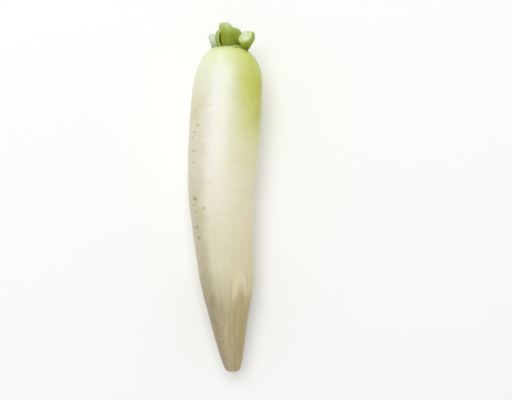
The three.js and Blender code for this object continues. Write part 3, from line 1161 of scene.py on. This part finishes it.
@dataclass
class Taproot:
    """The root's skin, and the stumps of its side roots."""

    shape: RootShape
    crown: CrownFrame
    finish: RootSkin = RootSkin()
    stump_finish: RootletSkin = RootletSkin()
    rings: int = 600
    sides: int = 160
    row_angle: float = -55.0  # side roots grow in two rows, this one and the one opposite
    row_width: float = 16.0  # degrees to each side where the mesh is finer
    row_fineness: float = 2.2
    rest_height: float = 0.02
    marks: tuple[RootMark, ...] = (
        RootMark(49, -67, 0.7), RootMark(57, -54, 0.7), RootMark(62, -52, 0.6),
        RootMark(71, -45, 0.8), RootMark(77, -52, 0.8), RootMark(81, -58, 0.7),
        RootMark(93, -52, 0.8), RootMark(103, -55, 0.7), RootMark(114, -64, 0.6),
        RootMark(119, -57, 0.7), RootMark(135, -50, 1.4, -30),
        RootMark(140.5, -55, 0.9, 20), RootMark(146, -52, 0.8), RootMark(160, -53, 1.1),
        RootMark(169, -50, 1.1), RootMark(192, -60, 0.9), RootMark(206, -62, 0.8),
        RootMark(54, -22, 0.5), RootMark(121, -16, 0.6), RootMark(143, -31, 0.8),
        RootMark(251, -42, 1.2), RootMark(266, -36, 0.9), RootMark(274, -12, 0.7),
    )
    hidden_seed: int = 5
    hidden_row: Pair = (44.0, 262.0)  # where the row opposite starts and ends
    hidden_steps: Pair = (5, 15)  # the least and the most between two of its marks
    hidden_spread: float = 5.0  # degrees
    hidden_sizes: Pair = (0.5, 1.25)
    strays: int = 9
    stray_below: Pair = (60, 270)
    stray_angles: Pair = (60, 280)
    stray_sizes: Pair = (0.4, 0.8)

    FINE_ANGLES = 7200
    FINE_ROWS = 2000
    LEVEL_END = 1.0  # how much is passed over at each end, where the skin lies level

    def all_marks(self) -> list[RootMark]:
        """Adds the marks of the far side, in the row opposite and a few beside it.

        Returns:
            Every mark on the root.
        """
        draw = np.random.default_rng(self.hidden_seed)
        marks = list(self.marks)
        below, end = self.hidden_row
        while below < end:
            angle = self.row_angle + 180 + draw.normal(0, self.hidden_spread)
            marks.append(RootMark(below, angle, draw.uniform(*self.hidden_sizes)))
            below += draw.uniform(*self.hidden_steps)
        ranges = (self.stray_below, self.stray_angles, self.stray_sizes)
        for _ in range(self.strays):
            marks.append(RootMark(*(draw.uniform(*least_most) for least_most in ranges)))
        return marks

    def angles(self) -> np.ndarray:
        """Spaces the sides round the root, closer together along the two rows.

        Returns:
            Radians from the top towards +X, one for each side.
        """
        fine = np.linspace(0, 2 * np.pi, self.FINE_ANGLES)
        row, width = math.radians(self.row_angle), math.radians(self.row_width)
        off = (fine - row + np.pi / 2) % np.pi - np.pi / 2
        density = 1 + self.row_fineness * np.exp(-((off / width) ** 2))
        total = np.concatenate([[0], np.cumsum((density[1:] + density[:-1]) / 2)])
        return np.interp(np.arange(self.sides) / self.sides * total[-1], total, fine)

    def bare_skin(self) -> bpy.types.Object:
        """Makes the smooth skin, before its wrinkles and marks.

        Returns:
            The skin as a closed mesh.
        """
        line = self.shape.outline(self.rings + 2)
        ends, angle = line[[0, -1]], self.angles()
        radius, height = line[1:-1, 0, None], line[1:-1, 1, None]
        rings = self.shape.point(radius, height, angle[None, :]).reshape(-1, 3)
        poles = self.shape.point(ends[:, 0], ends[:, 1], np.zeros(2))
        turn = np.tile(angle, self.rings)
        down = -np.repeat(line[1:-1, 1], self.sides)
        steady = np.stack([ROUND_RADIUS * np.sin(turn), ROUND_RADIUS * np.cos(turn), down], axis=1)
        pole_place = np.stack([np.zeros(2), np.zeros(2), -ends[:, 1]], axis=1)
        return mesh_piece(
            "root_skin",
            self.crown.place(np.vstack([rings, poles])),
            ring_faces(self.rings, self.sides),
            {SKIN_PLACE: np.vstack([steady, pole_place]) * MM},
        )

    def mark_points(self) -> bpy.types.Object:
        """Puts a loose point on the skin for each side root's mark.

        Returns:
            The points, with the size and the outward direction of each.
        """
        line = self.shape.outline(self.FINE_ROWS)
        marks = self.all_marks()
        height = -np.array([mark.below for mark in marks])
        angle = np.radians([mark.angle for mark in marks])
        end = self.LEVEL_END
        skin = line[(line[:, 1] < -end) & (line[:, 1] > self.shape.tip_height + end)]
        radius = np.interp(height, skin[:, 1], skin[:, 0])
        outward = np.stack([np.sin(angle), 0 * angle, np.cos(angle)], axis=1)
        own = {
            "size": np.array([mark.size for mark in marks]),
            "outward": outward @ np.array(self.crown.matrix.to_3x3()).T,
            "tilt": np.radians([mark.tilt for mark in marks]),
        }
        points = self.crown.place(self.shape.point(radius, height, angle))
        return mesh_piece("side_root_stumps", points, [], own)

    def build(self, stalks: list[bpy.types.Object]) -> list[bpy.types.Object]:
        """Makes and dresses the skin and the stumps.

        Args:
            stalks: The stubs that grow out of the crown.

        Returns:
            The two pieces.
        """
        marks = self.mark_points()
        feet = bpy.data.collections.new("leaf_stalks")
        for stalk in stalks:
            feet.objects.link(stalk)
        given = {"Marks": marks, "Stalks": feet, "Rest Height": self.rest_height * MM}
        given["Material"] = self.finish.material()
        skin = RootRelief(self.row_angle).run(self.bare_skin(), given)
        bpy.data.collections.remove(feet)
        stumps = RootStumps().run(marks, {"Material": self.stump_finish.material()})
        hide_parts("taproot")
        for piece in (skin, stumps):
            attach(piece, "root")
        return [skin, stumps]


# -------------------- Leaf-stalk stubs --------------------


class StalkKind(Enum):
    """How a stub is finished."""

    # its dark foot is partly painted shade where the stubs crowd together, as in every kind
    GREEN = StalkSkin()  # dark green at the foot and light at the cut
    # painted light: a copy of the stalk's green, more even and more yellow, for light coming
    # through it
    LIT = StalkSkin(  # an even, bright yellow-green, where light comes through
        name="light_green_leaf_stalk",
        skin=(
            (0.0, "#566600"), (0.2, "#6C7D06"), (0.45, "#869920"), (0.8, "#8A9E30"),
            (1.0, "#93A93E"),
        ),
        rib_colour="#9DB145",
        margin_colour="#9DB145",
        edge_colour="#B4C56C",
    )
    # painted shade: a copy of the same green, duller at the cut, for the stub that stands behind
    # the others
    SHADED = StalkSkin(  # the same green, duller at the cut
        name="shaded_leaf_stalk",
        skin=(
            (0.0, "#566414"), (0.2, "#74831C"), (0.5, "#86982A"), (0.75, "#92A540"),
            (0.9, "#A3B45C"), (1.0, "#B0C078"),
        ),
        edge_colour="#B2C27C",
    )
    FOLDED = StalkSkin(  # greyer and paler down to the foot
        name="folded_leaf_stalk",
        skin=(
            (0.0, "#66752A"), (0.2, "#8A9A3C"), (0.5, "#98A94E"), (0.8, "#A4B466"),
            (1.0, "#B0C07C"),
        ),
        margin_colour="#B2C278",
        margin=(0.475, 0.497, 0.0, 0.6),
        edge_colour="#B2C27C",
    )
    PALE = StalkSkin(  # green at the foot only, and nearly white above it
        name="pale_leaf_stalk",
        slot="leaf_stalk_pale",
        skin=(
            (0.0, "#6F8228"), (0.24, "#8DA04C"), (0.4, "#AFC08E"), (0.54, "#CCD9C2"),
            (1.0, "#D9E5D8"),
        ),
        rib_colour="#DCE7D4",
        margin_colour="#D6E2CE",
        edge_colour="#DDE8DC",
    )
    HEART = StalkSkin(  # the tender yellow-green of a young leaf
        name="young_heart_stalk",
        slot="leaf_stalk_heart",
        skin=((0.0, "#8B9C30"), (0.5, "#A9B955"), (1.0, "#BFCB80")),
        rib_colour="#C6D18A",
    )
    DRY = StalkSkin(  # dried at an old leaf's base: yellower and matt
        name="dry_leaf_scale",
        slot="leaf_scale_dry",
        skin=((0.0, "#75802A"), (0.5, "#97A244"), (1.0, "#ADB75C")),
        rib_colour="#B6BF6C",
        margin_colour="#ABB55C",
        roughness=0.55,
    )


@dataclass(frozen=True)
class Cut:
    """One flat cut at the end of a stub."""

    lean: float  # degrees from level
    towards: float  # the way that it leans, in degrees from +X towards +Z
    outset: float = 0.0  # how far it is moved outwards along its own face's normal
    grown_over: bool = False  # a shoulder that grew round, with skin on it

    def face(self) -> np.ndarray:
        """Turns its lean into a direction.

        Returns:
            The way that its face looks.
        """
        lean, towards = math.radians(self.lean), math.radians(self.towards)
        level = math.sin(lean)
        return np.array([level * math.cos(towards), math.cos(lean), level * math.sin(towards)])


@dataclass
class LeafStalk:
    """One leaf-stalk stub: a grooved section swept up a gentle bow, and cut off."""

    name: str
    foot: Pair  # X and Z of its middle, at the crown
    head: Pair  # and at its cut
    rise: float  # height of its cut
    facing: float  # where its back looks, in degrees from +X towards +Z
    width: Pair  # at the foot and at the cut
    thick: Pair
    cuts: tuple[Cut, ...]
    kind: StalkKind = StalkKind.GREEN
    rim: float = 0.7  # rounding of the edge of its cut
    bow: Pair = (0.0, 0.0)  # how far X and Z of its middle swell out half way up
    dome: float = 0.8  # how far its cut end falls away at half the head's width
    edge: float = -0.3  # where its section is widest, between its inner side and its back
    groove: float = 0.16  # depth of the groove on its inner side, over its thickness
    square: float = 0.3  # how far out its back stays full, over its width
    inner_square: float = 0.27  # and its inner side
    folds: tuple[Pair, ...] = ()  # place over its thickness, and depth, of folds in its sides
    furrow: Pair | None = None  # place over its width, and depth, of a furrow down its back

    SINK = 9.0  # how far it starts below the crown's top
    SPARE = 14.0  # how far it would run on past its cut
    FOOT_DEPTH = 4.0  # below the crown's top, where it has its foot's place and size
    MAX_REACH = 1.6  # over the way from foot to head, past which it grows straight up
    FOOT_WRAP = 13.0  # the radius that its section is bent round, at the bottom
    HEAD_WRAP = 24.0  # and at the top
    HANDLE = 0.28  # how far the handles of its sides' curves reach up and down
    HANDLE_SHIFT = 1 / 15  # how much of the widest place's own height the upper ones give back
    STEPS = 60  # in each quarter of the section
    SIDES = 112
    ROWS = 44
    RIM_ROWS = 4
    FACE_ROWS = 9
    FACE_MIDDLE = (0.0, 0.08)  # in the unit section
    CORNER_SHARE = 0.7  # how much of a sharp corner's own radius the cut's edge takes
    CORNER_BLEND = 4  # points to each side over which that changes
    DISH = 0.25  # how far a cut face sinks as it dries
    RIDGE = 1.5  # rounding where two cuts meet
    FOLD_WIDTH = 0.08
    FURROW_WIDTH = 0.035
    RIM_BLEND = 1.0  # width over which a face's flesh turns to skin on a round shoulder
    FLESH_SPREAD = 0.9  # how far past the ridge between them that lies
    LEAST_RUN = 0.2  # the share of the bow that lies below every cut
    HALVINGS = 30
    MARK_RADIUS = 6.0  # of the steady cylinder that its skin's places are taken on

    def section(self) -> np.ndarray:
        """Gives the section, one wide and one thick, as evenly spaced points.

        Returns:
            Rows of places across the stub and towards its back.
        """
        low, edge = self.groove - 0.5, self.edge
        upper, lower = self.HANDLE - edge * self.HANDLE_SHIFT, edge - self.HANDLE
        halves = (
            ((0.5, edge), (0.5, upper), (self.square, 0.5), (0.0, 0.5)),
            ((0.0, 0.5), (-self.square, 0.5), (-0.5, upper), (-0.5, edge)),
            ((-0.5, edge), (-0.5, lower), (-self.inner_square, low), (0.0, low)),
            ((0.0, low), (self.inner_square, low), (0.5, lower), (0.5, edge)),
        )
        line = np.vstack([bezier(points, self.STEPS) for points in halves])
        for place, depth in self.folds:
            near = np.exp(-(((line[:, 1] - place) / self.FOLD_WIDTH) ** 2))
            line[:, 0] *= 1 - depth * near
        if self.furrow is not None:
            place, depth = self.furrow
            near = np.exp(-(((line[:, 0] - place) / self.FURROW_WIDTH) ** 2))
            line[:, 1] -= depth * near * (line[:, 1] > edge)
        return evenly(line * self.real(), self.SIDES, closed=True) / self.real()

    def real(self) -> np.ndarray:
        """Gives the width and thickness at the cut, which a unit section is multiplied by."""
        return np.array([self.width[1], self.thick[1]])

    def grown(self, height: np.ndarray) -> np.ndarray:
        """Turns heights into the way from the stub's foot, 0, to its cut, 1."""
        return (height + self.FOOT_DEPTH) / (self.rise + self.FOOT_DEPTH)

    def at(self, section: np.ndarray, run: np.ndarray) -> np.ndarray:
        """Places points of the section along the stub.

        Args:
            section: Rows of places in the unit section.
            run: How far along the bow each one is, from 0 to 1.

        Returns:
            Rows of X, Y and Z in millimetres.
        """
        height = -self.SINK + (self.rise + self.SPARE + self.SINK) * run
        grown = np.clip(self.grown(height), 0, self.MAX_REACH)
        foot, head, bow = (np.array([x, 0.0, z]) for x, z in (self.foot, self.head, self.bow))
        middle = foot + (head - foot) * grown[:, None] + bow * (4 * grown * (1 - grown))[:, None]
        middle[:, 1] = height
        size = np.minimum(grown, 1)
        wrap, width, thick = (
            low + (high - low) * share
            for (low, high), share in (
                ((self.FOOT_WRAP, self.HEAD_WRAP), run),
                (self.width, size),
                (self.thick, size),
            )
        )
        facing = math.radians(self.facing)
        outward = np.array([math.cos(facing), 0.0, math.sin(facing)])
        across = np.array([-math.sin(facing), 0.0, math.cos(facing)])
        angle = section[:, 0] * width / wrap
        out = wrap + section[:, 1] * thick
        sideways = across * (out * np.sin(angle))[:, None]
        return middle + sideways + outward * (out * np.cos(angle) - wrap)[:, None]

    def over_each(self, points: np.ndarray) -> list[np.ndarray]:
        """Measures how far points lie beyond each cut.

        Args:
            points: Rows of X, Y and Z in millimetres.

        Returns:
            For each cut, the distance of each point.
        """
        off = points - np.array([self.head[0], self.rise, self.head[1]])
        found = []
        for cut in self.cuts:
            beyond = off @ cut.face()
            aside = np.sum(off**2, axis=1) - beyond**2
            found.append(beyond + self.dome * aside / (self.width[1] / 2) ** 2 - cut.outset)
        return found

    def over_cut(self, points: np.ndarray) -> np.ndarray:
        """Measures how far points lie beyond the cut end, with its ridges rounded.

        Args:
            points: Rows of X, Y and Z in millimetres.

        Returns:
            The distance of each point.
        """
        over, *others = self.over_each(points)
        for beyond in others:
            near = np.maximum(self.RIDGE - np.abs(over - beyond), 0) / self.RIDGE
            over = np.maximum(over, beyond) + near**2 * self.RIDGE / 4
        return over

    def flesh(self, points: np.ndarray) -> np.ndarray:
        """Tells where the cut end is bare flesh, and where skin grew over it.

        Args:
            points: Rows of X, Y and Z in millimetres.

        Returns:
            1 on flesh and 0 on skin, for each point.
        """
        share = np.ones(len(points))
        each = self.over_each(points)
        bare = np.max([over for cut, over in zip(self.cuts, each) if not cut.grown_over], axis=0)
        for cut, over in zip(self.cuts, each):
            if cut.grown_over:
                inside = (bare - over + self.FLESH_SPREAD) / self.RIM_BLEND + 0.5
                share = np.minimum(share, np.clip(inside, 0, 1))
        return share

    def run_to_cut(self, section: np.ndarray, short: float) -> np.ndarray:
        """Finds how far along the bow each point of the section meets the cut.

        Args:
            section: Rows of places in the unit section.
            short: How far before the cut to stop.

        Returns:
            The run of each point, from 0 to 1.
        """
        low, high = np.full(len(section), self.LEAST_RUN), np.ones(len(section))
        for _ in range(self.HALVINGS):
            middle = (low + high) / 2
            beyond = self.over_cut(self.at(section, middle)) > -short
            high = np.where(beyond, middle, high)
            low = np.where(beyond, low, middle)
        return (low + high) / 2

    def rim_inset(self, outline: np.ndarray) -> np.ndarray:
        """Finds how far the rounded edge of the cut reaches in, all round the section.

        It reaches in by the rim's radius, but less at a corner sharper than that.

        Args:
            outline: The unit section's evenly spaced points.

        Returns:
            Rows of steps from the section's edge to the cut face's, in the unit section.
        """
        step = (np.roll(outline, -1, axis=0) - np.roll(outline, 1, axis=0)) * self.real()
        apart = np.linalg.norm(step, axis=1)
        along = step / apart[:, None]
        inward = np.stack([-along[:, 1], along[:, 0]], axis=1)
        turned = np.roll(along, -1, axis=0) - np.roll(along, 1, axis=0)
        bend = np.sum(turned * inward, axis=1) / apart
        reach = self.rim / np.maximum(1, self.rim * bend / self.CORNER_SHARE)
        near = range(-self.CORNER_BLEND, self.CORNER_BLEND + 1)
        for blend in (np.min, np.mean):
            reach = blend([np.roll(reach, k) for k in near], axis=0)
        return inward * reach[:, None] / self.real()

    def rows(self) -> list[tuple[np.ndarray, np.ndarray, float]]:
        """Lays out the stub's rows of points: up its skin, round its rim and over its face.

        Returns:
            Each row's section, how far along the bow its points are, and how far over the
            rim it is, from 0 on the skin to 1 on the face.
        """
        outline = self.section()
        inset, end = self.rim_inset(outline), self.run_to_cut(outline, self.rim)
        rows = [(outline, end * share, 0.0) for share in np.linspace(0, 1, self.ROWS)]
        inner = outline
        for turn in np.linspace(0, math.pi / 2, self.RIM_ROWS + 1)[1:]:
            inner = outline + inset * (1 - math.cos(turn))
            short = self.rim * (1 - math.sin(turn))
            rows.append((inner, self.run_to_cut(inner, short), turn / (math.pi / 2)))
        middle = np.array(self.FACE_MIDDLE)
        for share in np.linspace(1, 0, self.FACE_ROWS + 1)[1:-1]:
            face = middle + (inner - middle) * share
            rows.append((face, self.run_to_cut(face, self.DISH * (1 - share**2)), 1.0))
        return rows

    def bare(self, crown: CrownFrame) -> bpy.types.Object:
        """Makes the smooth stub, before its ribs.

        Args:
            crown: The place of the crown.

        Returns:
            The stub as a closed mesh.
        """
        rows = self.rows()
        pole = np.array([self.FACE_MIDDLE])
        poles = [(pole, np.zeros(1), 0.0), (pole, self.run_to_cut(pole, self.DISH), 1.0)]
        points = np.vstack([self.at(section, run) for section, run, _ in rows + poles])
        sections = np.vstack([section for section, _, _ in rows + poles])
        cut = np.concatenate([np.full(len(section), over) for section, _, over in rows + poles])
        turn = np.arange(self.SIDES) / self.SIDES * 2 * np.pi
        turn = np.concatenate([np.tile(turn, len(rows)), [0, 0]])
        height, radius = points[:, 1], self.MARK_RADIUS
        steady = np.stack([radius * np.cos(turn), radius * np.sin(turn), height], axis=1)
        return mesh_piece(
            f"{self.name}_skin",
            crown.place(points),
            ring_faces(len(rows), self.SIDES),
            {
                STALK_PLACE: steady * MM,
                ACROSS: np.column_stack([sections, self.grown(height)]),
                CUT: cut * self.flesh(points),
            },
        )

    def build(self, crown: CrownFrame, tree: GeometryTree, seed: int) -> bpy.types.Object:
        """Makes and dresses the stub.

        Args:
            crown: The place of the crown.
            tree: The tree that raises its ribs.
            seed: A number of its own for the stub's irregularities.

        Returns:
            The finished piece.
        """
        skin = self.kind.value
        material = bpy.data.materials.get(skin.name) or skin.material()
        piece = tree.run(self.bare(crown), {"Seed": seed, "Material": material})
        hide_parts(self.name)
        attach(piece, "root")
        return piece


class StalkRelief(GeometryTree):
    """The tree that raises a stub's lumps, the ribs along it and the strings on its cut."""

    SIZES = {
        "Lump Depth": 0.5 * MM,
        "Lump Size": 8 * MM,
        "Rib Depth": 0.3 * MM,
        "Rib Spacing": 1.5 * MM,
        "Cut Depth": 0.16 * MM,
        "Seed": 0,
    }
    RIB_DRAW = (1.0, 1.0, 0.06)
    RIB_CELLS = 0.8  # cells of noise from one rib to the next
    STRING_DRAW = (16.0, 5.0, 1.5)  # strings over the width and the thickness of the section
    ROUGHNESS = 0.5  # of the noise

    def __init__(self) -> None:
        """Builds the tree."""
        super().__init__("stalk_ribs", self.SIZES)
        add, given = self.add, self.given
        where = add("GeometryNodeInputPosition")
        cut = add(Node.NAMED_NUMBER, CUT)
        ribs = add(Node.VECTOR_MULTIPLY, add(Node.NAMED_VECTOR, STALK_PLACE), self.RIB_DRAW)
        strings = add(Node.VECTOR_MULTIPLY, add(Node.NAMED_VECTOR, ACROSS), self.STRING_DRAW)
        lump_scale = add(Node.DIVIDE, 1.0, given["Lump Size"])
        rib_scale = add(Node.DIVIDE, self.RIB_CELLS, given["Rib Spacing"])
        rise: Socket | float = 0.0
        for place, scale, detail, depth, share in (
            (where, lump_scale, 1.0, "Lump Depth", 1.0),
            (ribs, rib_scale, 1.0, "Rib Depth", add(Node.SUBTRACT, 1.0, cut)),
            (strings, 1.0, 2.0, "Cut Depth", cut),
        ):
            noise = (place, scale, detail, self.ROUGHNESS, given["Seed"])
            swing = add(Node.NOISE, *noise, noise_dimensions="4D")
            swing = add(Node.SUBTRACT, swing, NOISE_MIDDLE)
            swing = add(Node.MULTIPLY, add(Node.MULTIPLY, swing, given[depth]), share)
            rise = add(Node.ADD, rise, swing)
        rise = add(Node.MULTIPLY, rise, NOISE_SWING)
        offset = add(Node.SCALE, add("GeometryNodeInputNormal"), rise)
        self.end(add(Node.OFFSET, given["Geometry"], offset))


@dataclass
class Crown:
    """The ring of leaf-stalk stubs on top of the root."""

    frame: CrownFrame
    stalks: tuple[LeafStalk, ...] = (
        LeafStalk(
            "stalk_front", (1.3, 11.0), (-2.0, 12.2), 20.3, 90, (17.0, 13.6), (7.0, 6.2),
            (Cut(2, 0), Cut(41, 0, 1.8), Cut(50, 180, 3.9)), rim=1.4, dome=0.2,
            furrow=(0.4, 0.14),
        ),
        LeafStalk(
            "stalk_right", (14.0, 9.0), (16.5, 9.6), 7.0, 90, (6.0, 15.0), (7.6, 10.4),
            (Cut(56.5, 106, 1.65), Cut(8, 20, 8.2), Cut(70, 51.6, 3.3, True)), StalkKind.LIT,
            rim=0.6, dome=0.0, edge=-0.05, groove=0.04, square=0.4,
        ),
        LeafStalk(
            "stalk_front_left", (-4.8, 9.4), (-6.2, 10.0), 15.6, 192, (8.0, 6.4), (3.2, 4.9),
            (Cut(30, 190),), StalkKind.FOLDED, bow=(-3.7, 0.0), rim=1.0, dome=0.2,
            edge=-0.26, inner_square=0.4, folds=((0.22, 0.22),),
        ),
        LeafStalk(
            "stalk_left", (-9.7, 1.6), (-14.7, 2.2), 12.2, 176, (14.0, 11.4), (6.2, 7.4),
            (Cut(4, 180), Cut(50, 180, 1.8)), StalkKind.PALE, rim=1.2, bow=(-0.8, 0.4),
            dome=0.4,
        ),
        LeafStalk(
            "stalk_back", (1.2, -12.6), (1.8, -15.4), 12.0, 275, (17.0, 13.4), (6.8, 6.0),
            (Cut(18, 275),),
        ),
        LeafStalk(
            "stalk_back_left", (-9.8, -8.6), (-12.2, -11.0), 9.5, 223, (14.0, 11.0), (6.4, 5.6),
            (Cut(14, 205),),
        ),
        LeafStalk(
            "stalk_back_right", (12.2, -5.4), (15.2, -7.4), 8.0, 333, (15.0, 11.4), (6.6, 5.8),
            (Cut(20, 330),),
        ),
        LeafStalk(
            "stalk_inner_right", (7.0, 5.6), (8.0, 6.2), 16.8, 76, (10.8, 12.0), (6.0, 5.6),
            (Cut(10, 0), Cut(48, 0, 1.0)), StalkKind.SHADED, rim=1.4, dome=0.2,
        ),
        LeafStalk(
            "stalk_inner_left", (-5.8, -0.4), (-7.0, -0.4), 13.0, 186, (12.0, 10.4), (5.6, 5.0),
            (Cut(15, 190),),
        ),
        LeafStalk(
            "heart_stalk", (1.8, -6.0), (2.4, -6.8), 8.5, 288, (10.5, 8.6), (5.0, 4.4),
            (Cut(12, 290),), StalkKind.HEART,
        ),
        LeafStalk(
            "heart_bud", (-0.2, 1.6), (-0.2, 1.9), 6.0, 105, (8.0, 6.2), (5.4, 4.4),
            (Cut(10, 110),), StalkKind.HEART,
        ),
        LeafStalk(
            "scale_front", (7.6, 13.7), (7.7, 14.1), 0.0, 66, (12.0, 10.6), (1.8, 1.5),
            (Cut(4, 66),), StalkKind.DRY, rim=0.4, dome=0.5, edge=-0.1, square=0.05,
            inner_square=0.1,
        ),
    )

    def build(self) -> list[bpy.types.Object]:
        """Makes every stub, each with its own seed."""
        tree = StalkRelief()
        return [stalk.build(self.frame, tree, seed) for seed, stalk in enumerate(self.stalks, 1)]


# -------------------- Studio --------------------


@dataclass
class Studio:
    """A pale floor, soft light and the camera."""

    crown: CrownFrame
    floor_size: float = 12.0
    sky_strength: float = 0.5
    horizon_strength: float = 0.93
    horizon: Pair = (0.22, 0.5)  # the sine of the heights between which the sky changes
    key_size: float = 1.8
    key_power: float = 34.5
    key_place: Triple = (-0.25, 0.9, 2.3)
    camera_height: float = 600.0  # above the root's middle line
    view_width: float = 460.8  # at the root's middle line
    view_centre: Pair = (24.66, -135.9)
    sensor: float = 36.0

    def floor(self) -> None:
        """Lays the floor."""
        half = self.floor_size / 2
        corners = np.array([(-half, -half, 0), (half, -half, 0), (half, half, 0), (-half, half, 0)])
        floor = mesh_piece("pale_floor", corners, [(0, 1, 2, 3)])
        floor.data.materials.append(PaintedBoard().material())

    def light(self) -> None:
        """Sets the soft sky, whitest near the horizon, and one large soft lamp."""
        world = bpy.data.worlds.new("soft_white_sky")
        world.use_nodes = True
        add = partial(add_node, world.node_tree)
        upward = add(Node.SEPARATE, add("ShaderNodeTexCoord", give="Generated"), give="Z")
        strength = add(Node.FADE, upward, *self.horizon, self.horizon_strength, self.sky_strength)
        sky = world.node_tree.nodes["Background"]
        sky.inputs["Color"].default_value = (1.0, 1.0, 1.0, 1.0)
        world.node_tree.links.new(strength, sky.inputs["Strength"])
        bpy.context.scene.world = world
        lamp = bpy.data.lights.new("large_soft_lamp", "AREA")
        lamp.size = self.key_size
        lamp.energy = self.key_power
        key = bpy.data.objects.new("large_soft_lamp", lamp)
        key.location = self.key_place
        key.rotation_euler = (-Vector(self.key_place)).to_track_quat("-Z", "Y").to_euler()
        bpy.context.collection.objects.link(key)

    def camera(self) -> None:
        """Sets the camera straight over the root, with the crown at the top of its view."""
        data = bpy.data.cameras.new("camera")
        data.sensor_width = self.sensor
        data.lens = self.sensor * self.camera_height / self.view_width
        camera = bpy.data.objects.new("camera", data)
        over = Vector((*self.view_centre, self.camera_height)) * MM
        camera.matrix_world = self.crown.matrix @ Matrix.Translation(over)
        bpy.context.collection.objects.link(camera)
        bpy.context.scene.camera = camera

    def build(self) -> None:
        """Sets up the whole studio, with plain colour handling so that white reads white."""
        self.floor()
        self.light()
        self.camera()
        bpy.context.scene.view_settings.view_transform = "Standard"


def report(piece: bpy.types.Object) -> None:
    """Logs a piece's faces and its size in millimetres."""
    size = ", ".join(f"{side / MM:.1f}" for side in piece.dimensions)
    log.info("%s: %d faces, %s mm", piece.name, len(piece.data.polygons), size)


def main() -> None:
    """Builds the radish and its studio, and reports each piece."""
    logging.basicConfig(level=logging.INFO, format="%(name)s: %(message)s")
    shape = RootShape()
    crown = CrownFrame.of(shape)
    log.info("crown at %s", crown.matrix.translation)
    stalks = Crown(crown).build()
    root = Taproot(shape, crown).build(stalks)
    for piece in root + stalks:
        report(piece)
    Studio(crown).build()


if __name__ == "__main__":
    main()
